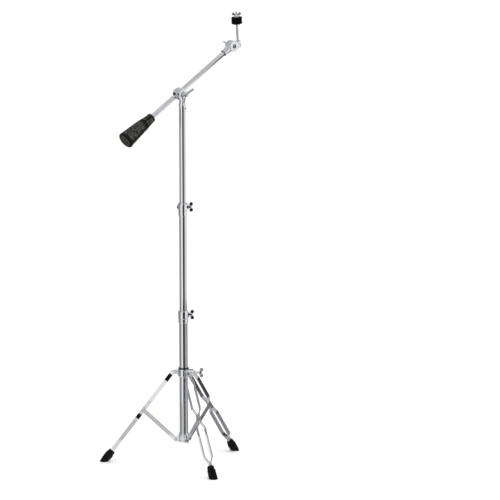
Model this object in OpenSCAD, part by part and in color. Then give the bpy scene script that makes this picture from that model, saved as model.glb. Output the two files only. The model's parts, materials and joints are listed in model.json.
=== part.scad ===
// Cymbal boom stand: a folding tripod of doubled steel strips, two telescoping tube
// stages, and a tilting, sliding boom with a counterweight and a ratchet cymbal tilter.
// Millimetres. Origin on the floor on the main tube's axis, +Z up, +X along the right leg.

/* [Tubes] */
// Outside diameter of the base tube
base_d = 28.6; // [25.4:0.1:32]
// Outside diameter of the middle tube
mid_d = 25.4; // [22:0.1:28.6]
// Outside diameter of the top tube
top_d = 22.2; // [19:0.1:25.4]
// Outside diameter of the boom tube
boom_d = 16; // [12.7:0.1:19]
// Wall of every tube
tube_wall = 1.3; // [1:0.1:2]
// Height of the base tube's top end
base_top = 494; // [400:1:600]
// Height of the middle tube's top end
mid_top = 858; // [700:1:1000]
// Height of the top tube's top end
top_top = 1209; // [1000:1:1400]
// Length of tube kept inside the stage below
overlap = 100; // [80:1:140]

/* [Tripod] */
// Radius of each leg's top pivot
pivot_r = 29; // [28:0.5:33]
// Height of each leg's top pivot
pivot_z = 310; // [306:1:312]
// Radius of each leg's brace pivot
knee_r = 136; // [120:1:150]
// Height of each leg's brace pivot
knee_z = 178; // [160:1:210]
// Radius of the brace's lower pivot
hip_r = 27; // [25:0.5:32]
// Height of the brace's lower pivot
hip_z = 82; // [72:1:110]
// Radius of the middle of each rubber foot
foot_r = 270; // [262:1:276]
// Width of the leg strips and braces
strip_w = 13.5; // [10:0.5:15]
// Thickness of the leg strips and braces
strip_t = 3; // [2:0.1:4]
// Half the gap between a leg's strips where they bow apart
bow = 12.3; // [8:0.1:16]

/* [Boom] */
// Compass angle of the boom from +X, seen from above
boom_az = -13.2; // [-180:0.1:180]
// Rise of the boom above level
boom_rise = 30.6; // [0:0.1:60]
// Height of the boom's tilt axis
tilt_z = 1248; // [1000:1:1400]
// Distance from the main axis to the boom's axis
boom_off = 20; // [16:0.5:28]
// Tilt axis to tilter disc, along the boom
tilter_x = 262; // [200:1:320]
// Tilt axis to the near end of the counterweight
weight_x = 129; // [110:1:220]
// Length of the counterweight without its domed end
weight_len = 129; // [90:1:150]
// Larger radius of the counterweight
weight_r = 28.5; // [20:0.5:34]
// Lean of the cymbal rod from upright
rod_lean = -3.5; // [-10:0.5:10]

/* [Cymbal seat] */
// Diameter of the felts
felt_d = 35; // [28:1:45]
// Thickness of one felt
felt_t = 11; // [8:0.5:16]
// Height of the rod's shoulder above the tilter's axis
seat_z = 68.5; // [50:0.5:90]

/* [Hidden] */
$fn = 64;
run = 0.05;             // radial running clearance
bush_t = 1.45;          // wall of the nylon bushes
base_r = base_d / 2;
mid_r = mid_d / 2;
top_r = top_d / 2;
boom_r = boom_d / 2;
leg_bend = [38, 308];   // where each leg turns down, radius and height
leg_run = knee_r - leg_bend[0];
leg_fall = leg_bend[1] - knee_z;
leg_a = atan2(leg_run, leg_fall);
knee_s = norm([leg_run, leg_fall]);
leg_s = 355;            // length of the straight part of a leg
pin_r = 2.5;
grip = 1.8;             // half gap where strips or ears hold a brace
top_grip = 3;           // half gap of the strips at the collar
foot_grip = 1;          // half gap of the strips inside the foot
chrome = [0.86, 0.87, 0.89];
satin = [0.78, 0.79, 0.81];
bright = [0.7, 0.71, 0.73];
dark = [0.22, 0.22, 0.23];
black = [0.04, 0.04, 0.04];
az_right = 0;
az_left = 120;
az_front = -120;
bolt_az = -51.2;        // side the stage clamps' bolts stand on
collar_az = -60;        // side the collar's bolt stands on
shank_r = 4;            // every clamp bolt's shank
lower_clamp = [477, 518];   // bottom and top of the lower clamp casting
upper_clamp = [838, 882];   // bottom and top of the upper clamp casting
lower_bolt_z = 505;
upper_bolt_z = 869;
collar_z = [296, 321];  // bottom and top of the leg collar
collar_bolt_z = 310;

// ---- shared shapes ----

module pipe(r_out, r_in, z0, z1) {
  translate([0, 0, z0]) difference() {
    cylinder(r = r_out, h = z1 - z0);
    translate([0, 0, -1]) cylinder(r = r_in, h = z1 - z0 + 2);
  }
}

// solid turned from radius and height pairs
module turned(pts) { rotate_extrude() polygon(pts); }

// cylinder along +X
module rod_x(r, x0, x1) { translate([x0, 0, 0]) rotate([0, 90, 0]) cylinder(r = r, h = x1 - x0); }

// cylinder along +Y
module rod_y(r, y0, y1) { translate([0, y0, 0]) rotate([-90, 0, 0]) cylinder(r = r, h = y1 - y0); }

// hub and two wings, axis +Z, hub foot at z = 0; the wings start a third of the way up
module wings(hub_r, hub_h, span, top, tab, t) {
  turned([[0, 0], [hub_r, 0], [hub_r, hub_h * 0.45], [hub_r * 0.8, hub_h], [0, hub_h]]);
  root = hub_h * 0.3;
  for (a = [0, 180]) rotate([90, 0, a]) translate([0, 0, -t / 2]) linear_extrude(t) hull() {
    translate([hub_r * 0.55, hub_h * 0.66]) circle(r = root, $fn = 32);
    translate([span / 2 - tab, top - tab]) circle(r = tab, $fn = 32);
  }
}

module at_leg(az) { rotate([0, 0, az]) children(); }

// frame of the boom's tilt joint: X level along the boom, Y along the tilt axis
module at_head() { translate([0, 0, tilt_z]) rotate([0, 0, boom_az]) children(); }

// frame of the boom: X up along its axis
module at_boom() { at_head() translate([0, boom_off, 0]) rotate([0, -boom_rise, 0]) children(); }

// frame of the tilter's disc: Y along the disc axis, Z up the rod
module at_tilter() {
  at_boom() translate([tilter_x, 0, 0]) rotate([0, boom_rise + rod_lean, 0]) children();
}

rod_x0 = 26.5;          // rod's distance from the disc axis
rod_y0 = 1;             // rod's offset along the disc axis
rod_r = 4;
thread_r = 3;           // threaded top of the rod
thread_len = 43.5;
module at_rod() { at_tilter() translate([rod_x0, rod_y0, 0]) children(); }

// ---- base ----

bracket_z = hip_z - 8;  // underside of the brace bracket
ear_x = 12;             // where the ears and lugs start inside their castings
pin_head_r = 4.4;

module base_tube() color(chrome)
  pipe(base_r, base_r - tube_wall, bracket_z + 1, base_top - 0.2);

module base_bracket() color(satin) difference() {
  union() {
    turned([[0, bracket_z], [16, bracket_z], [17, bracket_z + 1], [17, bracket_z + 5],
      [16.4, bracket_z + 7], [16.4, bracket_z + 30], [15.6, bracket_z + 31], [0, bracket_z + 31]]);
    for (a = [az_right, az_left, az_front]) at_leg(a) for (s = [-1, 1])
      translate([0, s * (grip + strip_t / 2) + strip_t / 2, 0]) rotate([90, 0, 0])
        linear_extrude(strip_t) {
          translate([hip_r, hip_z]) circle(r = 7.5);
          translate([ear_x, hip_z - 7.5]) square([hip_r - ear_x, 15]);
          polygon([[ear_x, hip_z + 7.5], [hip_r, hip_z + 7.5], [16.4, hip_z + 18],
            [ear_x, hip_z + 18]]);
        }
  }
  translate([0, 0, bracket_z - 20]) cylinder(r = base_r, h = 80);
  for (a = [az_right, az_left, az_front]) at_leg(a)
    translate([hip_r, 0, hip_z]) rod_y(pin_r, -20, 20);
}

module bracket_pins() color(bright) for (a = [az_right, az_left, az_front]) at_leg(a)
  translate([hip_r, 0, hip_z]) {
    rod_y(pin_r, -6, 6);
    rod_y(pin_head_r, grip + strip_t, 6.2);
    rod_y(pin_head_r, -6.2, -grip - strip_t);
  }

// clamp casting on a tube's top end: sleeve, wide head with an inner lip, bolt boss
module receiver(tube_r, bore_r, pipe_r, z0, z1, z2, lobe) difference() {
  union() {
    turned([[0, z0], [tube_r + 1.5, z0], [tube_r + 2.1, z0 + 1], [tube_r + 2.3, z1 - 3],
      [tube_r + 3, z1 - 1], [tube_r + 3, z2 - 2], [tube_r + 1.5, z2], [0, z2]]);
    rotate([0, 0, bolt_az]) translate([0, 0, (z1 + z2) / 2 - 1]) {
      rod_x(8.5, 8, tube_r + 5.5);
      rod_x(7, 8, tube_r + 6.5);
    }
    if (lobe > 0) rotate([0, 0, bolt_az + 180]) translate([0, 0, (z1 + z2) / 2 - 1])
      rod_x(8, 8, tube_r + lobe);
  }
  translate([0, 0, z0 - 1]) cylinder(r = tube_r, h = z1 - z0 + 1);
  translate([0, 0, z1 - 0.1]) cylinder(r = bore_r, h = z2 - z1 - 2.9);
  translate([0, 0, z1]) cylinder(r = pipe_r + 0.4, h = z2 - z1 + 1);
  rotate([0, 0, bolt_az]) translate([0, 0, (z1 + z2) / 2 - 1]) rod_x(shank_r + run, 5, 40);
}

// split nylon bush between a clamp casting and the tube that slides in it
module bush(r_in, r_out, z0, z1) difference() {
  pipe(r_out, r_in, z0, z1);
  rotate([0, 0, bolt_az + 90]) translate([0, -1, z0 - 1]) cube([r_out + 2, 2, z1 - z0 + 2]);
}

module shoe(x0, z) rotate([0, 0, bolt_az]) translate([0, 0, z]) rod_x(3.9, x0, x0 + 1.6);

module lower_receiver() color(satin)
  receiver(base_r, mid_r + run * 2 + bush_t, mid_r, lower_clamp[0], base_top, lower_clamp[1], 0);

module lower_bush() color(black)
  bush(mid_r + run, mid_r + run + bush_t, base_top + 0.1, lower_clamp[1] - 3.1);

module lower_shoe() color(dark) shoe(mid_r + run + bush_t + 0.1, lower_bolt_z);

// wing bolt along +X: shank from x0, wings above x1
module wing_bolt(x0, x1, span, top) {
  rod_x(shank_r, x0, x1 + 1);
  translate([x1, 0, 0]) rotate([0, 90, 0]) wings(6.4, 9, span, top, 6, 3.4);
}

module lower_wing_bolt() color(chrome)
  rotate([0, 0, bolt_az]) translate([0, 0, lower_bolt_z]) wing_bolt(16, 21.6, 32, 14);

// ---- leg collar ----

module at_collar_bolt() { at_leg(collar_az) translate([0, 0, collar_bolt_z]) children(); }

lug_t = 2 * (top_grip - 0.2);  // thickness of the lugs between the legs' strips
module leg_collar() color(satin) difference() {
  union() {
    turned([[0, collar_z[0]], [17, collar_z[0]], [18.5, collar_z[0] + 2],
      [18.5, collar_z[1] - 3], [17.6, collar_z[1]], [0, collar_z[1]]]);
    for (a = [az_right, az_left, az_front]) at_leg(a)
      translate([0, lug_t / 2, 0]) rotate([90, 0, 0]) linear_extrude(lug_t) {
        translate([pivot_r, pivot_z]) circle(r = 6.5);
        polygon([[ear_x, collar_z[0] + 2], [pivot_r, pivot_z - 6.5],
          [pivot_r + 2.6, pivot_z + 6], [24, collar_z[1] - 1.5], [ear_x, collar_z[1] - 0.5]]);
      }
    at_collar_bolt() {
      rod_x(9.5, 8, 26);
      rod_x(8, 8, 37);
    }
  }
  translate([0, 0, collar_z[0] - 10]) cylinder(r = base_r + run, h = 60);
  at_collar_bolt() rod_x(shank_r + run, 5, 40);
}

module collar_ring() color(black) pipe(17.2, base_r + run, collar_z[1], collar_z[1] + 5);

module collar_shoe() color(dark) at_collar_bolt() rod_x(3.9, base_r + 0.15, 16.2);

module collar_wing_bolt() color(chrome) at_collar_bolt() wing_bolt(16.3, 51, 32, 15);

// ---- legs and braces ----

module brace(az) at_leg(az) translate([0, strip_t / 2, 0]) rotate([90, 0, 0])
  linear_extrude(strip_t) difference() {
    union() {
      translate([hip_r, hip_z]) circle(r = strip_w / 2);
      translate([knee_r, knee_z]) circle(r = strip_w / 2);
      translate([hip_r, hip_z]) rotate(atan2(knee_z - hip_z, knee_r - hip_r))
        translate([0, -strip_w / 2]) square([norm([knee_r - hip_r, knee_z - hip_z]), strip_w]);
    }
    translate([hip_r, hip_z]) circle(r = pin_r + run);
    translate([knee_r, knee_z]) circle(r = pin_r + run);
  }

module brace_right() color(chrome) brace(az_right);
module brace_left() color(chrome) brace(az_left);
module brace_front() color(chrome) brace(az_front);

// straight slope with short curved ends, from 0 to 1
bend_share = 0.25;
function ease(u) = u < bend_share ? u * u / (2 * bend_share * (1 - bend_share)) :
  u > 1 - bend_share ? 1 - (1 - u) * (1 - u) / (2 * bend_share * (1 - bend_share)) :
  (u - bend_share / 2) / (1 - bend_share);
// half gap between the strips at distance s down the straight of a leg
stations = [[-24, top_grip], [1, top_grip], [36, bow], [122, bow], [knee_s - 10, grip],
  [knee_s + 10, grip], [knee_s + 38, bow], [leg_s - 53, bow], [leg_s - 25, foot_grip],
  [leg_s, foot_grip]];
function blend(i, n) = [for (k = [0 : n - 1]) let (u = k / n)
  [stations[i][0] + u * (stations[i + 1][0] - stations[i][0]),
   stations[i][1] + ease(u) * (stations[i + 1][1] - stations[i][1])]];
edge = [for (i = [0 : len(stations) - 2])
  each blend(i, stations[i][1] == stations[i + 1][1] ? 1 : 8), stations[len(stations) - 1]];
outer = [for (i = [len(edge) - 1 : -1 : 0]) edge[i] + [0, strip_t]];

// outline of a strip seen from the side: rounded top end, one bend, long straight
turn_a = atan2(leg_bend[1] - pivot_z, leg_bend[0] - pivot_r);
side_w = strip_w / 2;
mitre = side_w / cos((turn_a + 90 - leg_a) / 2);
mitre_a = (turn_a + leg_a - 90) / 2 + 90;
function polar(c, r, a) = c + r * [cos(a), sin(a)];
leg_end = polar(leg_bend, leg_s + 10, leg_a - 90);
module leg_side() polygon([
  for (k = [0 : 10]) polar([pivot_r, pivot_z], side_w, turn_a + 90 + 18 * k),
  polar(leg_bend, mitre, mitre_a + 180), polar(leg_end, side_w, leg_a + 180),
  polar(leg_end, side_w, leg_a), polar(leg_bend, mitre, mitre_a)]);

module strip(az, side) at_leg(az) mirror([0, side < 0 ? 1 : 0, 0]) difference() {
  intersection() {
    translate([0, 30, 0]) rotate([90, 0, 0]) linear_extrude(60) leg_side();
    translate([leg_bend[0], 0, leg_bend[1]]) rotate([0, 90 - leg_a, 0])
      translate([0, 0, -40]) linear_extrude(80) polygon(concat(edge, outer));
  }
  translate([pivot_r, 0, pivot_z]) rod_y(pin_r, -20, 20);
  translate([knee_r, 0, knee_z]) rod_y(pin_r, -20, 20);
}

// rivets: a headed stud in each strip at the top, one through rivet at the brace
module leg_rivets(az) at_leg(az) {
  for (s = [-1, 1]) translate([pivot_r, 0, pivot_z]) mirror([0, s < 0 ? 1 : 0, 0]) {
    rod_y(pin_r, top_grip, top_grip + strip_t + 0.5);
    rod_y(4.4, top_grip + strip_t, top_grip + strip_t + 1.6);
  }
  translate([knee_r, 0, knee_z]) {
    rod_y(pin_r, -grip - strip_t, grip + strip_t);
    for (s = [-1, 1]) mirror([0, s < 0 ? 1 : 0, 0])
      rod_y(5, grip + strip_t, grip + strip_t + 1.8);
  }
}

// moulded boot: short neck and round body along the leg, flat round sole
sole_r = 14.5;
neck_r = 9.6;
body_r = 13.2;
slot = 0.12;            // clearance round the strips inside the boot
module foot(az) at_leg(az) difference() {
  hull() {
    translate([leg_bend[0], 0, leg_bend[1]]) rotate([0, 90 - leg_a, 0]) {
      rod_x(neck_r, leg_s - 15, leg_s - 12, $fn = 32);
      rod_x(body_r, leg_s - 3, leg_s + 6, $fn = 32);
    }
    translate([foot_r, 0, 0]) cylinder(r1 = sole_r, r2 = sole_r + 0.5, h = 4, $fn = 32);
    translate([foot_r - 2, 0, 4]) cylinder(r1 = sole_r + 0.5, r2 = sole_r, h = 7, $fn = 32);
  }
  translate([leg_bend[0], 0, leg_bend[1]]) rotate([0, 90 - leg_a, 0])
    translate([leg_s - 40, -strip_t - foot_grip - slot, -strip_w / 2 - slot])
      cube([40 + slot, 2 * (strip_t + foot_grip + slot), strip_w + 2 * slot]);
}

module leg_right_strip_a() color(chrome) strip(az_right, 1);
module leg_right_strip_b() color(chrome) strip(az_right, -1);
module leg_right_rivets() color(bright) leg_rivets(az_right);
module foot_right() color(black) foot(az_right);
module leg_left_strip_a() color(chrome) strip(az_left, 1);
module leg_left_strip_b() color(chrome) strip(az_left, -1);
module leg_left_rivets() color(bright) leg_rivets(az_left);
module foot_left() color(black) foot(az_left);
module leg_front_strip_a() color(chrome) strip(az_front, 1);
module leg_front_strip_b() color(chrome) strip(az_front, -1);
module leg_front_rivets() color(bright) leg_rivets(az_front);
module foot_front() color(black) foot(az_front);

// ---- middle and top stages ----

module mid_tube() color(chrome)
  pipe(mid_r, mid_r - tube_wall, base_top - overlap, mid_top - 0.2);

module upper_receiver() color(satin)
  receiver(mid_r, top_r + run * 2 + bush_t, top_r, upper_clamp[0], mid_top, upper_clamp[1], 7);

module upper_bush() color(black)
  bush(top_r + run, top_r + run + bush_t, mid_top + 0.1, upper_clamp[1] - 3.1);

module upper_shoe() color(dark) shoe(top_r + run + bush_t + 0.1, upper_bolt_z);

module upper_wing_bolt() color(chrome)
  rotate([0, 0, bolt_az]) translate([0, 0, upper_bolt_z]) rotate([12, 0, 0])
    wing_bolt(14.5, 20, 34, 14);

module top_tube() color(chrome)
  pipe(top_r, top_r - tube_wall, mid_top - overlap, top_top);

// cast post: spigot in the tube, waist, and a round cheek across the tilt axis
cheek_y = [-6, boom_off - 12.1];  // faces of the post's cheek along the tilt axis
cheek_r = 17;
dome_r = 20.5;
post_top = tilt_z - 8;
module boom_post() color(satin) difference() {
  union() {
    turned([[0, top_top - 39], [top_r - tube_wall, top_top - 39], [top_r - tube_wall, top_top],
      [top_r + 0.6, top_top], [top_r + 0.6, top_top + 4], [10.2, top_top + 7],
      [10, top_top + 13], [11.2, top_top + 23], [11.6, post_top], [0, post_top]]);
    at_head() rod_y(cheek_r, cheek_y[0], cheek_y[1]);
  }
  at_head() {
    rod_y(dome_r + 0.1, cheek_y[1], 60);
    rod_y(10, -40, cheek_y[0]);
    rod_y(shank_r + run, -30, 30);
  }
}

module boom_post_screw() color(dark) rotate([0, 0, bolt_az]) translate([0, 0, top_top - 9])
  rod_x(3, top_r - 0.001, top_r + 1.6);

// domed boom holder, bored across for the boom and its liner
liner_t = 1.4;
liner_len = 34;
module boom_holder() color(satin) difference() {
  at_head() translate([0, boom_off - 12, 0]) rotate([-90, 0, 0]) {
    cylinder(r = dome_r, h = 14);
    translate([0, 0, 14]) cylinder(r1 = dome_r, r2 = 18, h = 5);
    translate([0, 0, 19]) cylinder(r1 = 18, r2 = 11, h = 5);
  }
  at_boom() rod_x(boom_r + run * 2 + liner_t, -40, 40);
  at_head() rod_y(shank_r, -5, boom_off - boom_r);
}

module holder_bolt() color(bright) at_head()
  rod_y(shank_r, -29, boom_off - boom_r - liner_t - 0.2);

module holder_washer() color(bright) at_head() translate([0, cheek_y[0] - 1.6, 0])
  rotate([-90, 0, 0]) pipe(9, shank_r + run, 0, 1.5);

module holder_wing_nut() color(chrome) difference() {
  at_head() translate([0, cheek_y[0] - 1.7, 0]) rotate([90, 0, 0]) rotate([0, 0, 44])
    wings(7.5, 14, 62, 28, 4, 4);
  at_head() rod_y(shank_r + run, -60, 0);
}

module boom_liner() color(black) at_boom() rotate([0, 90, 0])
  pipe(boom_r + run + liner_t, boom_r + run, -liner_len / 2, liner_len / 2);

// ---- boom ----

core_t = 5;             // wall of the iron core on the boom tube
screw_x0 = 20;          // set screw's distance from the weight's near end
module boom_tube() color(chrome) at_boom() rotate([0, 90, 0])
  pipe(boom_r, boom_r - 1.2, -weight_x - weight_len + 10, tilter_x - tube_in - 1);

module weight_core() color(dark) at_boom() difference() {
  rotate([0, -90, 0]) pipe(boom_r + core_t, boom_r, weight_x + 2, weight_x + weight_len - 8);
  translate([-weight_x - screw_x0, 0, 0]) cylinder(r = 3, h = 40);
}

// rubber-skinned cone with a shallow band and a domed end
module weight_cover() color(black) at_boom() rotate([0, -90, 0]) translate([0, 0, weight_x])
  difference() {
    rotate_extrude() polygon([[0, 0], [14.5, 0], [16, 1.5], [20, 38], [19.2, 39], [19.6, 44],
      [20.8, 45], [weight_r - 0.3, weight_len - 10], [weight_r, weight_len - 5],
      [weight_r - 1.5, weight_len - 0.5], [weight_r - 5, weight_len + 2],
      [weight_r - 12, weight_len + 4], [weight_r - 20, weight_len + 5.4],
      [0, weight_len + 6]]);
    translate([0, 0, 2]) cylinder(r = boom_r + core_t, h = weight_len - 10);
    translate([0, 0, -1]) cylinder(r = boom_r, h = 30);
    translate([0, 0, screw_x0]) rotate([0, 90, 0]) cylinder(r = 3, h = 40);
  }

module weight_screw() color(dark) at_boom() translate([-weight_x - screw_x0, 0, boom_r])
  cylinder(r = 3, h = 9);

// ---- tilter ----

disc_r = 18;
front_y = -14.2;        // outer face of the front disc
split_y = -1.5;         // plane between the two discs
rear_y = 13;            // outer face of the rear disc
neck_len = 41;          // disc axis to the end of the socket that holds the boom tube
tube_in = 22;           // disc axis to the end of the boom tube
pivot_r2 = 3.5;         // pivot screw

// front disc and the tapered socket, cast in one
module tilter_front() color(satin) difference() {
  at_boom() translate([tilter_x, 0, 0]) {
    translate([0, front_y, 0]) rotate([-90, 0, 0]) turned([[0, 0], [disc_r - 0.8, 0],
      [disc_r, 0.8], [disc_r, split_y - front_y], [0, split_y - front_y]]);
    rotate([0, -90, 0]) turned([[0, 0], [13, 0], [13, 14], [10.4, neck_len - 1],
      [10, neck_len], [0, neck_len]]);
  }
  at_boom() translate([tilter_x, 0, 0]) {
    rod_y(disc_r + 0.5, split_y, 40);
    rod_y(7.1, -30, front_y + 3.2);
    rod_y(pivot_r2, -30, 20);
    translate([-14.6, 0, 0]) rod_y(0.9, -30, front_y + 2);
  }
  at_boom() rod_x(boom_r, tilter_x - 60, tilter_x - tube_in);
}

module tilter_ring() color(black) at_boom() rotate([0, 90, 0])
  pipe(10.5, boom_r, tilter_x - neck_len - 1.3, tilter_x - neck_len);

// pivot screw with a four-notched head in the disc's recess
module tilter_screw() color(satin) at_boom() translate([tilter_x, 0, 0]) difference() {
  union() {
    rod_y(pivot_r2, front_y + 3.2, 33);
    rod_y(5.2, front_y - 0.3, front_y + 3.2);
  }
  for (a = [0 : 90 : 270]) rotate([0, a + 45, 0]) translate([5.2, 0, 0])
    rod_y(1.7, front_y - 2, front_y + 1.8);
}

// rear disc with a fluted rim and the boss that holds the cymbal rod
boss_r = 8.2;
boss_z = [-11, 13];
screw_x = rod_x0 + boss_r - 0.7;  // flat under the rod screw's head
screw_z = -3;
module tilter_rear() color(satin) at_tilter() difference() {
  union() {
    rod_y(disc_r, split_y + 0.1, rear_y);
    translate([0, split_y + 0.1, -9]) cube([rod_x0, 9, 19]);
    translate([rod_x0, rod_y0, boss_z[0]]) {
      cylinder(r = boss_r, h = boss_z[1] - boss_z[0] - 1);
      cylinder(r = boss_r - 1, h = boss_z[1] - boss_z[0]);
    }
  }
  for (a = [50 : 14 : 310]) rotate([0, a, 0]) translate([disc_r + 0.5, 0, 0])
    rod_y(1.5, split_y - 1, rear_y + 1, $fn = 24);
  rod_y(pivot_r2 + run, -5, 20);
  translate([rod_x0, rod_y0, 0]) cylinder(r = rod_r, h = 80, center = true);
  translate([0, rod_y0, screw_z]) rod_x(2, rod_x0, 50);
  translate([screw_x, rod_y0 - 5, screw_z - 5]) cube([10, 10, 10]);
}

module tilter_rod() color(chrome) at_rod() turned([[0, boss_z[0] + 0.5],
  [rod_r, boss_z[0] + 0.5], [rod_r, seat_z], [thread_r, seat_z],
  [thread_r, seat_z + thread_len - 0.8], [thread_r - 0.8, seat_z + thread_len],
  [0, seat_z + thread_len]]);

module rod_screw() color(dark) at_tilter() translate([0, rod_y0, screw_z]) {
  rod_x(2, rod_x0 + rod_r, screw_x);
  rod_x(3.4, screw_x, screw_x + 2.4);
}

module seat_washer() color(chrome) at_rod() pipe(12, thread_r, seat_z, seat_z + 2);

sleeve_r = 5.2;         // nylon sleeve the cymbal hangs on
felt_z = seat_z + 2;
module rod_sleeve() color(black) at_rod() pipe(sleeve_r, thread_r, felt_z, felt_z + 2 * felt_t - 1);

module felt(r_in, z0) translate([0, 0, z0]) rotate_extrude() polygon([
  [r_in, 0], [felt_d / 2 - 1.5, 0], [felt_d / 2, 1.8], [felt_d / 2, felt_t - 1.8],
  [felt_d / 2 - 1.5, felt_t], [r_in, felt_t]]);

module lower_felt() color(black) at_rod() felt(sleeve_r, felt_z);
module upper_felt() color(black) at_rod() felt(sleeve_r + run, felt_z + felt_t + 0.05);

nut_z = felt_z + 2 * felt_t + 0.1;
module nut_washer() color(chrome) at_rod() pipe(9, thread_r + run, nut_z, nut_z + 1.2);

module cymbal_wing_nut() color(chrome) at_rod() translate([0, 0, nut_z + 1.3])
  rotate([0, 0, -38]) difference() {
    wings(5.6, 7, 31, 15, 4.6, 3);
    translate([0, 0, -1]) cylinder(r = thread_r + run, h = 30);
  }

module tilter_washer() color(chrome) at_tilter() translate([0, rear_y + 0.1, 0])
  rotate([-90, 0, 0]) pipe(8, pivot_r2 + run, 0, 1.5);

module tilter_wing_nut() color(chrome) at_tilter() difference() {
  translate([0, rear_y + 1.7, 0]) rotate([-90, 0, 0]) rotate([0, 0, 48])
    wings(6.5, 10, 38, 18, 4.2, 3.4);
  rod_y(pivot_r2 + run, 0, 60);
}

// ---- drawing ----

base_tube();
base_bracket();
bracket_pins();
lower_receiver();
lower_bush();
lower_shoe();
lower_wing_bolt();
leg_collar();
collar_ring();
collar_shoe();
collar_wing_bolt();
brace_right();
brace_left();
brace_front();
leg_right_strip_a();
leg_right_strip_b();
leg_right_rivets();
foot_right();
leg_left_strip_a();
leg_left_strip_b();
leg_left_rivets();
foot_left();
leg_front_strip_a();
leg_front_strip_b();
leg_front_rivets();
foot_front();
mid_tube();
upper_receiver();
upper_bush();
upper_shoe();
upper_wing_bolt();
top_tube();
boom_post();
boom_post_screw();
boom_holder();
holder_bolt();
holder_washer();
holder_wing_nut();
boom_liner();
boom_tube();
weight_core();
weight_cover();
weight_screw();
tilter_front();
tilter_ring();
tilter_screw();
tilter_rear();
tilter_rod();
rod_screw();
seat_washer();
rod_sleeve();
lower_felt();
tilter_washer();
tilter_wing_nut();
upper_felt();
nut_washer();
cymbal_wing_nut();
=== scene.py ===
"""Cymbal boom stand: materials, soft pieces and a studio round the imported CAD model.

Lengths are in metres, in the CAD's own frame, unless a name or a comment says mm.
"""
import json
import math
import random

import bpy
from mathutils import Matrix, Vector, noise


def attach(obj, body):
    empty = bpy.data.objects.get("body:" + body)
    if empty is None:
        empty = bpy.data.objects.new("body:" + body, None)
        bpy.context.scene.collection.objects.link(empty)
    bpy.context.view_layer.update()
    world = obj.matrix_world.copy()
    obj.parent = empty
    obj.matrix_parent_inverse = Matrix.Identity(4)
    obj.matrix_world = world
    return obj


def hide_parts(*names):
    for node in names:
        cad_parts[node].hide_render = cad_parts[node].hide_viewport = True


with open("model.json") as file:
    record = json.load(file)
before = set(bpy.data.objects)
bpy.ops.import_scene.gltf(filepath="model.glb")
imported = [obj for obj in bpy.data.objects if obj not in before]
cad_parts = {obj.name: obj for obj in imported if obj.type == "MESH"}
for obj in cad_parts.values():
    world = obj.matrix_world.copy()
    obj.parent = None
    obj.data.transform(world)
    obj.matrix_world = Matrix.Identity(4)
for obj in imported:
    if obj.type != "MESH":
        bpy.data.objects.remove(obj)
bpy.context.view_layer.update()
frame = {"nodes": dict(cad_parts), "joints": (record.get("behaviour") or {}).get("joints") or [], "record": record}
NODES = frame["nodes"]
SLOTS = {s["node"]: s["material_slot"] for s in frame["record"]["subparts"]}
JOINTS = {j["name"]: j for j in frame["joints"]}
MM = 0.001
UP = Vector((0, 0, 1))

# where the camera stands, in degrees, and the way to the right in its picture
VIEW_AZ, VIEW_EL = -51.2, 11.4
RIGHT = Vector((math.cos(math.radians(VIEW_AZ)), math.sin(math.radians(VIEW_AZ)), 0))


# ---- places on the stand, from its joints and mounts ----

def joint_point(name):
    return Vector(JOINTS[name]["pos_m"])


def joint_axis(name):
    return Vector(JOINTS[name]["axis"]).normalized()


def sole_point(side):
    for mount in frame["record"]["mounts"]:
        if mount["name"] == "sole_" + side:
            return Vector(mount["pos_m"])


ROD_FOOT = joint_point("cymbal_nut_turn")
ROD_UP = joint_axis("cymbal_nut_lift")
BOOM_CENTRE = joint_point("boom_roll")
BOOM_AXIS = joint_axis("boom_slide")
TILT_AXIS = joint_axis("boom_tilt")
# a leg's lean from the vertical at its boot, and each leg's turn in degrees
LEG_LEAN = math.radians(37.0)
LEG_TURNS = {"right": 0, "left": 120, "front": -120}


# ---- material helpers ----

# nearly all values of a noise texture lie between these two
NOISE_LOW, NOISE_HIGH = 0.3, 0.7


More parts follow.
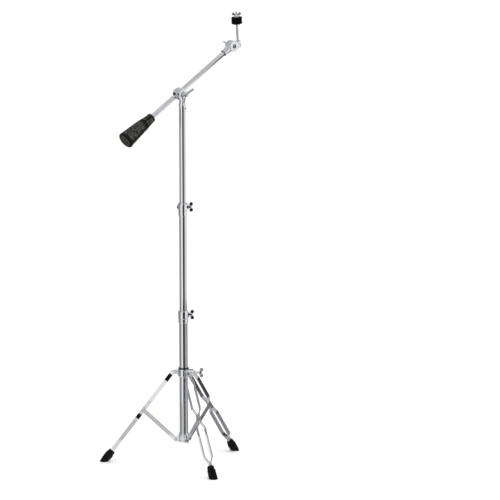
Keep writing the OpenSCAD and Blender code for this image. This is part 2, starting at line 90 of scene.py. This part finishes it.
class Shader:
    """A node material with a Principled surface and short calls for the usual textures."""

    def __init__(self, name, color, metallic, rough):
        self.mat = bpy.data.materials.new(name)
        self.mat.use_nodes = True
        self.tree = self.mat.node_tree
        self.bsdf = self.tree.nodes["Principled BSDF"]
        self.bsdf.inputs["Base Color"].default_value = (*color, 1)
        self.bsdf.inputs["Metallic"].default_value = metallic
        self.bsdf.inputs["Roughness"].default_value = rough
        self.coords = self.tree.nodes.new("ShaderNodeTexCoord").outputs["Object"]
        self.normal = None

    def node(self, kind, **inputs):
        n = self.tree.nodes.new(kind)
        for key, value in inputs.items():
            n.inputs[key.replace("_", " ")].default_value = value
        return n

    def link(self, a, b):
        self.tree.links.new(a, b)

    def scaled(self, scale):
        m = self.node("ShaderNodeMapping")
        m.inputs["Scale"].default_value = scale
        self.link(self.coords, m.inputs["Vector"])
        return m.outputs["Vector"]

    def noise(self, scale, detail=4.0, rough=0.55, stretch=(1, 1, 1)):
        n = self.node("ShaderNodeTexNoise", Scale=scale, Detail=detail, Roughness=rough)
        self.link(self.scaled(stretch), n.inputs["Vector"])
        return n.outputs["Fac"]

    def voronoi(self, scale):
        n = self.node("ShaderNodeTexVoronoi", Scale=scale)
        self.link(self.coords, n.inputs["Vector"])
        return n.outputs["Distance"]

    def ramp(self, fac, stops, ease="EASE"):
        n = self.tree.nodes.new("ShaderNodeValToRGB")
        n.color_ramp.interpolation = ease
        while len(n.color_ramp.elements) < len(stops):
            n.color_ramp.elements.new(0.5)
        for e, (pos, col) in zip(n.color_ramp.elements, stops):
            e.position = pos
            e.color = (*col, 1) if isinstance(col, tuple) else (col, col, col, 1)
        self.link(fac, n.inputs["Fac"])
        return n.outputs["Color"]

    def spread(self, fac, low, high):
        """Stretch a noise texture's values over low to high."""
        n = self.node("ShaderNodeMapRange")
        n.inputs["From Min"].default_value = NOISE_LOW
        n.inputs["From Max"].default_value = NOISE_HIGH
        n.inputs["To Min"].default_value = low
        n.inputs["To Max"].default_value = high
        self.link(fac, n.inputs["Value"])
        return n.outputs["Result"]

    def level(self, fac, low, high):
        """Map 0 to 1 onto low to high."""
        n = self.node("ShaderNodeMapRange")
        n.inputs["To Min"].default_value = low
        n.inputs["To Max"].default_value = high
        self.link(fac, n.inputs["Value"])
        return n.outputs["Result"]

    def mottled(self, fac, color, share):
        """The colour, down to a share of it where the noise is low."""
        darker = tuple(c * share for c in color)
        return self.ramp(fac, [(NOISE_LOW, darker), (NOISE_HIGH, color)])

    def plus(self, a, b):
        n = self.node("ShaderNodeMath")
        n.operation = "ADD"
        self.link(a, n.inputs[0])
        self.link(b, n.inputs[1])
        return n.outputs["Value"]

    def painted_crevice_shade(self, output, reach):
        """Paint shade into a colour where the surface closes in on itself within reach metres."""
        ao = self.node("ShaderNodeAmbientOcclusion", Distance=reach)
        ao.samples = 6
        # painted shade: ambient occlusion darkens the colour to a fiftieth in tight hollows
        shade = self.ramp(ao.outputs["AO"], [(0.30, 0.02), (0.78, 1.0)])
        n = self.node("ShaderNodeVectorMath")
        n.operation = "MULTIPLY"
        self.link(output, n.inputs[0])
        self.link(shade, n.inputs[1])
        return n.outputs["Vector"]

    def color(self, output):
        self.link(output, self.bsdf.inputs["Base Color"])

    def roughness(self, output):
        self.link(output, self.bsdf.inputs["Roughness"])

    def bevel(self, radius):
        n = self.node("ShaderNodeBevel", Radius=radius)
        n.samples = 4
        self.normal = n.outputs["Normal"]

    def bump(self, height, strength, distance):
        n = self.node("ShaderNodeBump", Strength=strength, Distance=distance)
        self.link(height, n.inputs["Height"])
        if self.normal is not None:
            self.link(self.normal, n.inputs["Normal"])
        self.normal = n.outputs["Normal"]

    def done(self):
        if self.normal is not None:
            self.link(self.normal, self.bsdf.inputs["Normal"])
        return self.mat


def polished(name, color, rough, edge):
    """Bright chrome plate: faint hazing and wipe marks in the roughness, softened edges."""
    s = Shader(name, color, 1.0, rough)
    haze = s.noise(38.0, 5.0)
    s.roughness(s.spread(haze, rough * 0.6, rough * 1.7))
    s.color(s.mottled(s.noise(9.0, 3.0), color, 0.965))
    s.bevel(edge)
    s.bump(s.noise(900.0, 2.0), 0.05, 0.00002)
    return s.done()


def cast(name, color, rough, edge, face=None):
    """Plated die casting: faintly sandy under the plate, matt where it looks along face, with painted shade in its
    crevices.
    """
    s = Shader(name, color, 1.0, rough)
    haze = s.spread(s.noise(120.0, 4.0), rough * 0.7, rough * 1.5)
    if face is not None:
        normal = s.node("ShaderNodeTexCoord").outputs["Normal"]
        dot = s.node("ShaderNodeVectorMath")
        dot.operation = "DOT_PRODUCT"
        dot.inputs[1].default_value = face
        s.link(normal, dot.inputs[0])
        matt = s.ramp(dot.outputs["Value"], [(0.93, 0.0), (0.99, 1.0)], "LINEAR")
        s.link(s.level(matt, 1.0, 0.45), s.bsdf.inputs["Metallic"])
        haze = s.plus(haze, s.level(matt, 0.0, 0.3))
    s.roughness(haze)
    plate = s.mottled(s.noise(30.0, 4.0), color, 0.93)
    # painted shade: the plate colour darkens in crevices and hollows
    s.color(s.painted_crevice_shade(plate, 0.005))
    s.bevel(edge)
    s.bump(s.noise(260.0, 3.0), 0.16, 0.0002)
    return s.done()


def zinc(name, color, rough):
    """Turned and plated fastener steel with fine ring marks and painted shade in its crevices."""
    s = Shader(name, color, 1.0, rough)
    s.roughness(s.spread(s.noise(300.0, 3.0, stretch=(1, 1, 6)), rough * 0.7, rough * 1.4))
    plate = s.mottled(s.noise(60.0), color, 0.85)
    # painted shade: the plate colour darkens in crevices and hollows
    s.color(s.painted_crevice_shade(plate, 0.004))
    s.bevel(0.0003)
    s.bump(s.noise(700.0, 2.0, stretch=(1, 1, 8)), 0.12, 0.0001)
    return s.done()


def rubber(name, color, rough, grain, shine, panel=None):
    """Moulded rubber: fine pebble, dusty lighter patches, dustier still in any panel."""
    s = Shader(name, color, 0.0, rough)
    light = tuple(c * 1.9 + 0.001 for c in color)
    dust = s.ramp(s.noise(70.0, 6.0), [(0.35, color), (0.75, light)])
    if panel is not None:
        inset = s.node("ShaderNodeAttribute")
        inset.attribute_name = "inset"
        chalk = s.ramp(s.noise(120.0, 7.0, 0.7), [(0.36, panel[0]), (0.68, panel[1])])
        mix = s.tree.nodes.new("ShaderNodeMix")
        mix.data_type = "RGBA"
        s.link(inset.outputs["Fac"], mix.inputs[0])
        s.link(dust, mix.inputs[6])
        s.link(chalk, mix.inputs[7])
        dust = mix.outputs[2]
    s.color(dust)
    s.roughness(s.spread(s.noise(180.0), rough * 0.85, min(1.0, rough * 1.25)))
    s.bsdf.inputs["Specular IOR Level"].default_value = shine
    s.bevel(0.0006)
    s.bump(s.voronoi(grain), 0.25, 0.0002)
    s.bump(s.noise(55.0, 3.0), 0.12, 0.0006)
    return s.done()


def nylon(name, color):
    """Moulded nylon: dark, half matt and slightly uneven."""
    s = Shader(name, color, 0.0, 0.42)
    s.color(s.ramp(s.noise(90.0), [(0.3, color), (0.8, tuple(c * 1.6 for c in color))]))
    s.roughness(s.spread(s.noise(150.0), 0.35, 0.55))
    s.bump(s.noise(500.0, 2.0), 0.1, 0.0001)
    return s.done()


def felt_material(name, color):
    """Pressed wool: near black, a warm cast, matted fibres and a soft rim of sheen."""
    s = Shader(name, color, 0.0, 1.0)
    s.color(s.ramp(s.noise(650.0, 6.0, 0.7), [(0.4, color), (0.85, (0.006, 0.005, 0.0045))]))
    s.bsdf.inputs["Specular IOR Level"].default_value = 0.03
    s.bsdf.inputs["Sheen Weight"].default_value = 0.02
    s.bsdf.inputs["Sheen Roughness"].default_value = 0.6
    s.bump(s.noise(1400.0, 6.0, 0.75), 0.9, 0.0006)
    return s.done()


MATERIALS = {
    "tube_chrome": polished("tube_chrome", (0.86, 0.87, 0.89), 0.045, 0.0004),
    "strip_chrome": polished("strip_chrome", (0.84, 0.85, 0.87), 0.055, 0.0005),
    "cast_chrome": cast("cast_chrome", (0.86, 0.87, 0.885), 0.09, 0.0007,
                        tuple(TILT_AXIS)),
    "wing_chrome": cast("wing_chrome", (0.85, 0.86, 0.88), 0.10, 0.0007),
    "steel_fastener": zinc("steel_fastener", (0.70, 0.71, 0.73), 0.26),
    "dark_steel": zinc("dark_steel", (0.10, 0.10, 0.105), 0.38),
    "iron_core": zinc("iron_core", (0.16, 0.16, 0.165), 0.55),
    "rubber_weight": rubber("rubber_weight", (0.0035, 0.0036, 0.003), 0.55, 900.0, 0.12,
                            ((0.006, 0.0062, 0.005), (0.075, 0.076, 0.066))),
    "rubber_foot": rubber("rubber_foot", (0.0025, 0.0025, 0.0025), 0.5, 1000.0, 0.14),
    "black_nylon": nylon("black_nylon", (0.008, 0.008, 0.008)),
    "felt": felt_material("felt", (0.0010, 0.0009, 0.0008)),
}

for name, obj in NODES.items():
    obj.data.materials.clear()
    obj.data.materials.append(MATERIALS[SLOTS[name]])
    obj.data.shade_smooth()
    obj.data.set_sharp_from_angle(angle=math.radians(32))


def new_object(name, verts, faces):
    mesh = bpy.data.meshes.new(name)
    mesh.from_pydata(verts, [], faces)
    mesh.update()
    obj = bpy.data.objects.new(name, mesh)
    bpy.context.scene.collection.objects.link(obj)
    return obj


# ---- surfaces from rings ----

def basis(origin, axis, side):
    """Matrix whose Z is axis and whose X leans towards side, at origin."""
    z = axis.normalized()
    y = z.cross(side).normalized()
    x = y.cross(z)
    return Matrix.Translation(origin) @ Matrix((x, y, z)).transposed().to_4x4()


def surface(rings, count, closed_loop=False, caps=True):
    """Verts and faces through rings, each a function of the turn angle giving a point."""
    verts, faces = [], []
    for ring in rings:
        verts += [ring(2 * math.pi * k / count) for k in range(count)]
    pairs = list(zip(range(len(rings)), range(1, len(rings))))
    if closed_loop:
        pairs.append((len(rings) - 1, 0))
    for i, j in pairs:
        for k in range(count):
            m = (k + 1) % count
            faces.append((i * count + k, i * count + m, j * count + m, j * count + k))
    if caps and not closed_loop:
        faces.append(tuple(reversed(range(count))))
        faces.append(tuple(range(len(verts) - count, len(verts))))
    return verts, faces


def ring_point(angle, radius, height):
    return Vector((radius * math.cos(angle), radius * math.sin(angle), height))


def smooth_step(x, low, high):
    t = min(1.0, max(0.0, (x - low) / (high - low)))
    return t * t * (3 - 2 * t)


def profile_value(points, x):
    """Value at x along straight stretches between (x, value) points."""
    for (x0, y0), (x1, y1) in zip(points, points[1:]):
        if x <= x1:
            return y0 + (y1 - y0) * (x - x0) / (x1 - x0)
    return points[-1][1]


def finish_piece(obj, material, body, node, angle=50):
    """Shade the piece, let it stand for the node and ride on the body."""
    obj.data.materials.append(MATERIALS[material])
    obj.data.shade_smooth()
    obj.data.set_sharp_from_angle(angle=math.radians(angle))
    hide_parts(node)
    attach(obj, body)


# ---- felts ----

# radius, thickness and rounding of the rim, in mm
FELT_RADIUS, FELT_THICK, FELT_SOFT = 17.2, 10.95, 1.8
FELT_HAIRS = 2600
# along a hair: share of its length, radius in mm
HAIR_STATIONS = ((-0.2, 0.045), (0.5, 0.035), (1.0, 0.008))
HAIR_SIDES = (0, 2.1, 4.2)


def fibres(verts, faces, spots, rng, low, high):
    """Thin bent hairs, three-sided, low to high mm long, added at each (point, normal)."""
    for point, normal in spots:
        lean = Vector((rng.gauss(0, 1), rng.gauss(0, 1), rng.gauss(0, 1)))
        way = (normal + lean * 0.55).normalized()
        curl = lean.cross(way) * rng.uniform(0.2, 0.6)
        length = rng.uniform(low, high) * MM
        across = way.orthogonal().normalized()
        other = way.cross(across)
        start = len(verts)
        for step, thick in HAIR_STATIONS:
            at = point + (way + curl * step) * step * length
            for t in HAIR_SIDES:
                offset = (across * math.cos(t) + other * math.sin(t)) * thick * MM
                verts.append(at + offset)
        for level in (0, 3):
            for t in range(3):
                m = (t + 1) % 3
                a, b = start + level + t, start + level + m
                faces.append((a, b, b + 3, a + 3))
        faces.append((start + 6, start + 7, start + 8))


def felt_outline(inner):
    """(radius, height) in mm, from the bore's foot round the rim to the bore's top."""
    half, thick, soft = FELT_RADIUS, FELT_THICK, FELT_SOFT
    outline = [(inner, 0.15), (9, 0.0), (half - soft, 0.0)]
    for k in range(1, 5):
        t = math.radians(-90 + 22.5 * k)
        outline.append((half - soft + soft * math.cos(t), soft + soft * math.sin(t)))
    for k in range(1, 4):
        outline.append((half + 0.25 * math.sin(k * 0.8), soft + (thick - 2 * soft) * k / 4))
    for k in range(0, 5):
        t = math.radians(22.5 * k)
        outline.append((half - soft + soft * math.cos(t), thick - soft + soft * math.sin(t)))
    return outline + [(9, thick), (inner, thick - 0.15)]


def felt(name, node, body, bottom, inner, seed):
    """A pressed wool disc: soft shoulders, an uneven rim and loose fibres."""
    rng = random.Random(seed)
    outline = felt_outline(inner)
    to_row = basis(ROD_FOOT + ROD_UP * bottom, ROD_UP, BOOM_AXIS)

    def ring(radius, height):
        def point(angle):
            p = ring_point(angle, radius * MM, height * MM)
            rim = smooth_step(radius, 11, FELT_RADIUS)
            wave = noise.noise(p * 140 + Vector((seed, 0, 0)))
            mat = noise.noise(p * 520 + Vector((0, seed, 0)))
            swell = rim * (0.75 * wave + 0.4 * mat)
            sag = rim * 0.35 * noise.noise(p * 90 + Vector((0, 0, seed)))
            r = (radius + swell) * MM
            edge = min(max(height + sag, 0.02), FELT_THICK)
            return to_row @ ring_point(angle, r, edge * MM)
        return point

    count = 120
    rings = [ring(r, h) for r, h in outline]
    verts, faces = surface(rings, count, closed_loop=True)
    spots = []
    for _ in range(FELT_HAIRS):
        i = rng.randrange(3, len(outline) - 2)
        k = rng.randrange(count)
        here = verts[i * count + k]
        along = verts[i * count + (k + 1) % count] - here
        up = verts[(i + 1) * count + k] - here
        normal = along.cross(up).normalized()
        spots.append((here + along * rng.random() + up * rng.random(), normal))
    fibres(verts, faces, spots, rng, 0.5, 1.5)
    obj = new_object(name, verts, faces)
    finish_piece(obj, "felt", body, node, angle=180)


# ---- counterweight ----

# (distance from the neck, radius) in mm: the cone, the round of its big end, the end face
WEIGHT_CONE = [(0, 8.1), (0.01, 12.5), (0.8, 14.2), (2.2, 15.4), (38, 19.9), (45, 21.1), (121, 28.1)]
WEIGHT_ROUND = [(121.5, 28.15), (124, 28.35), (126, 28.5), (127.4, 28.4), (128.6, 28.2)]
WEIGHT_END = [(129.6, 27.9), (131, 26.4), (131.4, 24.2), (130.6, 22.6), (131.6, 16.0),
              (132.6, 8.0), (133.0, 0.2)]
# first and last mm of a row of three panels, and its turn as a share of one panel
WEIGHT_PANELS = ((7.0, 37.0, 0.12), (46.0, 122.5, 0.62))
# middle of the groove between the rows, in mm
WEIGHT_GROOVE = 41.5
# from the boom's centre back to the neck
WEIGHT_START = 0.129


def weight_skin():
    """The counterweight's moulded rubber: a cone with framed panels and a recessed end."""
    steps = [0, 0.01, 0.4, 0.8, 1.5] + [2.2 + 1.2 * k for k in range(0, 99)]
    outline = [(h, profile_value(WEIGHT_CONE, h)) for h in steps] + WEIGHT_ROUND
    end_ring = len(outline)
    for (h0, r0), (h1, r1) in zip(WEIGHT_END, WEIGHT_END[1:]):
        outline += [(h0 + (h1 - h0) * k / 4, r0 + (r1 - r0) * k / 4) for k in range(4)]
    outline.append(WEIGHT_END[-1])
    to_row = basis(BOOM_CENTRE - BOOM_AXIS * WEIGHT_START, -BOOM_AXIS, -TILT_AXIS)
    shade = []

    def inset(h, angle):
        """0 on the frame to 1 inside a panel."""
        most = 0.0
        for low, high, turn in WEIGHT_PANELS:
            third = (angle / (2 * math.pi) * 3 + turn) % 1.0
            around = smooth_step(third, 0.06, 0.10) * (1 - smooth_step(third, 0.90, 0.94))
            along = smooth_step(h, low, low + 2.2) * (1 - smooth_step(h, high - 2.2, high))
            most = max(most, around * along)
        return most

    def ring(h, radius, end):
        def point(angle):
            depth = 0.0 if end else inset(h, angle)
            shade.append(1 - smooth_step(radius, 21.0, 23.0) if end else depth)
            groove = 0.0 if end else 1.0 - smooth_step(abs(h - WEIGHT_GROOVE), 1.0, 3.2)
            r = radius - 0.95 * depth - 0.8 * groove
            return to_row @ ring_point(angle, r * MM, h * MM)
        return point

    verts, faces = surface([ring(h, r, k >= end_ring) for k, (h, r) in enumerate(outline)], 192)
    obj = new_object("weight_skin", verts, faces)
    layer = obj.data.color_attributes.new("inset", "FLOAT_COLOR", "POINT")
    for k, v in enumerate(shade):
        layer.data[k].color = (v, v, v, 1)
    finish_piece(obj, "rubber_weight", "boom", "weight_cover")


# ---- boots ----

# share of the way from the neck to the sole, radius in mm
BOOT_PROFILE = [(0, 8.4), (0.02, 10.4), (0.06, 11.4), (0.24, 12.2), (0.28, 13.8), (0.34, 14.1),
                (0.40, 13.6), (0.60, 13.8), (0.76, 14.6), (0.88, 14.9), (0.94, 14.6),
                (0.98, 13.6), (1.0, 12.2)]
# from the sole up the leg to the neck and to the bend
BOOT_LENGTH, BOOT_BEND = 0.0480, 0.0200
BOOT_RIBS = 10


def boot(side, angle):
    """A rubber boot: a ribbed neck along the leg that turns onto a flat sole."""
    outward = Vector((math.cos(math.radians(angle)), math.sin(math.radians(angle)), 0))
    sole = sole_point(side)
    leg_way = outward * math.sin(LEG_LEAN) - UP * math.cos(LEG_LEAN)
    neck = sole - leg_way * BOOT_LENGTH
    mid = sole - leg_way * BOOT_BEND
    across = UP.cross(outward)
    steps = [0, 0.01] + [0.02 + 0.0203 * k for k in range(0, 48)] + [1.0]

    def ring(u):
        centre = neck * (1 - u) ** 2 + mid * 2 * u * (1 - u) + sole * u ** 2
        tilt = LEG_LEAN * (1 - smooth_step(u, 0.30, 0.95))
        axis_out = outward * math.cos(tilt) + UP * math.sin(tilt)
        radius = profile_value(BOOT_PROFILE, u)

        def point(turn):
            rib = max(0.0, math.cos(turn * BOOT_RIBS)) ** 0.5
            span = smooth_step(u, 0.36, 0.44) * (1 - smooth_step(u, 0.74, 0.82))
            lip = 0.5 * (1 - smooth_step(abs(u - 0.86), 0.012, 0.03))
            r = (radius + 0.55 * rib * span - 0.3 * span - lip) * MM
            p = centre + axis_out * math.cos(turn) * r + across * math.sin(turn) * r
            p.z = max(p.z, 0.0)
            return p
        return point

    verts, faces = surface([ring(u) for u in steps], 120)
    obj = new_object("boot_" + side, verts, faces)
    finish_piece(obj, "rubber_foot", "leg_" + side, "foot_" + side)


# height above the rod's foot, radius of the bore in mm, random seed
felt("felt_lower", "lower_felt", "tilter", 70.5 * MM, 5.25, 3)
felt("felt_upper", "upper_felt", "cymbal_stack", 81.55 * MM, 5.3, 8)
weight_skin()
for side, angle in LEG_TURNS.items():
    boot(side, angle)


# ---- stage: floor, reflection tent, light and camera ----

def floor():
    """A plain pale floor, far wider than the view."""
    half = 40.0
    corners = [(-half, -half, 0), (half, -half, 0), (half, half, 0), (-half, half, 0)]
    obj = new_object("floor", corners, [(0, 1, 2, 3)])
    s = Shader("floor", (0.9, 0.9, 0.9), 0.0, 0.7)
    s.color(s.ramp(s.noise(0.7), [(NOISE_LOW, 0.90), (NOISE_HIGH, 0.92)]))
    s.bsdf.inputs["Specular IOR Level"].default_value = 0.1
    obj.data.materials.append(s.done())


# the cloth round the stand, by height: (degrees to the right of the camera, brightness)
TENT_GROUND = [(-180, 0.7), (-60, 0.8), (-6, 0.85), (30, 0.6), (64, 0.6), (80, 0.3),
               (90, 0.2), (108, 0.3), (126, 0.3), (134, 0.6), (180, 0.7)]
TENT_LOW = [(-180, 0.6), (-150, 0.4), (-123, 0.3), (-78, 0.25), (-62, 0.35), (-50, 0.56),
            (-6, 0.6), (2, 0.015), (28, 0.015), (36, 0.2), (64, 0.42), (80, 0.6), (92, 0.5),
            (96, 0.06), (106, 0.1), (114, 0.25), (126, 0.3), (132, 0.6), (150, 0.4), (180, 0.6)]
TENT_KNEE = [(-180, 0.6), (-150, 0.4), (-123, 0.3), (-78, 0.25), (-62, 0.4), (-50, 0.85),
             (-16, 0.9), (-8, 0.012), (27, 0.012), (36, 0.2), (64, 0.42), (80, 0.6), (92, 0.5),
             (96, 0.06), (110, 0.06), (120, 0.5), (150, 0.4), (180, 0.6)]
TENT_WALL = [(-180, 0.6), (-150, 0.5), (-123, 0.36), (-78, 0.27), (-62, 0.42), (-50, 0.85),
             (-9, 0.95), (-2, 0.012), (26, 0.012), (34, 0.2), (64, 0.42), (84, 0.8),
             (120, 0.85), (150, 0.5), (180, 0.6)]
TENT_HIGH = [(-180, 0.5), (-150, 0.04), (-120, 0.01), (-62, 0.01), (-54, 0.6), (-44, 0.95),
             (-8, 0.95), (0, 0.01), (36, 0.01), (44, 0.3), (62, 0.9), (84, 0.9), (90, 0.03),
             (122, 0.02), (132, 0.6), (150, 0.5), (180, 0.5)]
TENT_TOP = [(-180, 0.6), (-120, 0.5), (-60, 0.75), (-20, 0.95), (20, 0.5), (60, 0.5),
            (100, 0.7), (150, 0.6), (180, 0.6)]


def cloth_material(attribute):
    """Light given off in the colour that the attribute holds."""
    mat = bpy.data.materials.new("tent")
    mat.use_nodes = True
    tree = mat.node_tree
    tree.nodes.clear()
    out = tree.nodes.new("ShaderNodeOutputMaterial")
    glow = tree.nodes.new("ShaderNodeEmission")
    shade = tree.nodes.new("ShaderNodeAttribute")
    shade.attribute_name = attribute
    tree.links.new(shade.outputs["Color"], glow.inputs["Color"])
    tree.links.new(glow.outputs[0], out.inputs["Surface"])
    return mat


def tent():
    """A round of pale and dark cloth that only reflections see, as in a product studio."""
    wall, steps, gap = 0.46, 360, 0.0005
    # radius, height and cloth, from the middle of the floor out and up to the roof
    outline = [(0.02, gap, TENT_GROUND), (wall - 0.01, gap, TENT_GROUND), (wall, 0.004, TENT_LOW),
               (wall, 0.09, TENT_LOW), (wall, 0.13, TENT_KNEE), (wall, 0.44, TENT_KNEE),
               (wall, 0.47, TENT_WALL), (wall, 1.13, TENT_WALL), (wall, 1.15, TENT_HIGH),
               (wall, 1.31, TENT_HIGH), (wall, 1.36, TENT_TOP),
               (wall * 0.93, 1.62, TENT_TOP), (wall * 0.7, 1.75, TENT_TOP), (0.02, 1.82, TENT_TOP)]
    centre = math.radians(VIEW_AZ - 90)
    rings = []
    shade = []
    for radius, height, cloth in outline:
        rings.append(lambda a, r=radius, h=height: ring_point(a + centre, r, h))
        for k in range(steps):
            shade.append(profile_value(cloth, (k * 360 / steps + 180) % 360 - 180))
    verts, faces = surface(rings, steps, caps=False)
    obj = new_object("tent", verts, faces)
    layer = obj.data.color_attributes.new("shade", "FLOAT_COLOR", "POINT")
    for k, v in enumerate(shade):
        layer.data[k].color = (v, v, v * 1.02, 1)
    obj.data.materials.append(cloth_material("shade"))
    obj.visible_camera = False
    obj.visible_diffuse = False
    obj.visible_shadow = False
    obj.visible_transmission = False


def sky():
    """An even white surround."""
    world = bpy.data.worlds.new("studio")
    world.use_nodes = True
    back = world.node_tree.nodes["Background"]
    back.inputs["Color"].default_value = (1, 1, 1, 1)
    back.inputs["Strength"].default_value = 1.15
    bpy.context.scene.world = world


def area_light(name, place, target, size, power):
    """A soft round lamp that lights the stand and doesn't mirror in it."""
    data = bpy.data.lights.new(name, "AREA")
    data.shape = "DISK"
    data.size = size
    data.energy = power
    obj = bpy.data.objects.new(name, data)
    obj.location = place
    obj.rotation_euler = (target - Vector(place)).to_track_quat("-Z", "Y").to_euler()
    obj.visible_glossy = False
    bpy.context.scene.collection.objects.link(obj)


def camera():
    """A very long lens far away, at the angle the stand is seen from, a touch off level."""
    distance, frame_width, sensor, roll = 70.0, 1.656, 36.0, -0.27
    aim = RIGHT * 0.222 + UP * 0.722
    a, e = math.radians(VIEW_AZ), math.radians(VIEW_EL)
    back = Vector((math.sin(a) * math.cos(e), -math.cos(a) * math.cos(e), math.sin(e)))
    data = bpy.data.cameras.new("camera")
    data.sensor_width = sensor
    data.lens = sensor * distance / frame_width
    data.clip_end = 200
    obj = bpy.data.objects.new("camera", data)
    obj.location = aim + back * distance
    turn = Matrix.Rotation(math.radians(roll), 4, back).to_quaternion()
    obj.rotation_euler = (turn @ (-back).to_track_quat("-Z", "Y")).to_euler()
    bpy.context.scene.collection.objects.link(obj)
    bpy.context.scene.camera = obj


floor()
tent()
sky()
half_way_up = UP * 0.7
area_light("key", (-1.5, -3.0, 4.0), half_way_up, 3.0, 30)
area_light("fill", (3.0, 0.5, 3.5), half_way_up, 3.0, 15)
camera()
bpy.context.scene.view_settings.view_transform = "Standard"
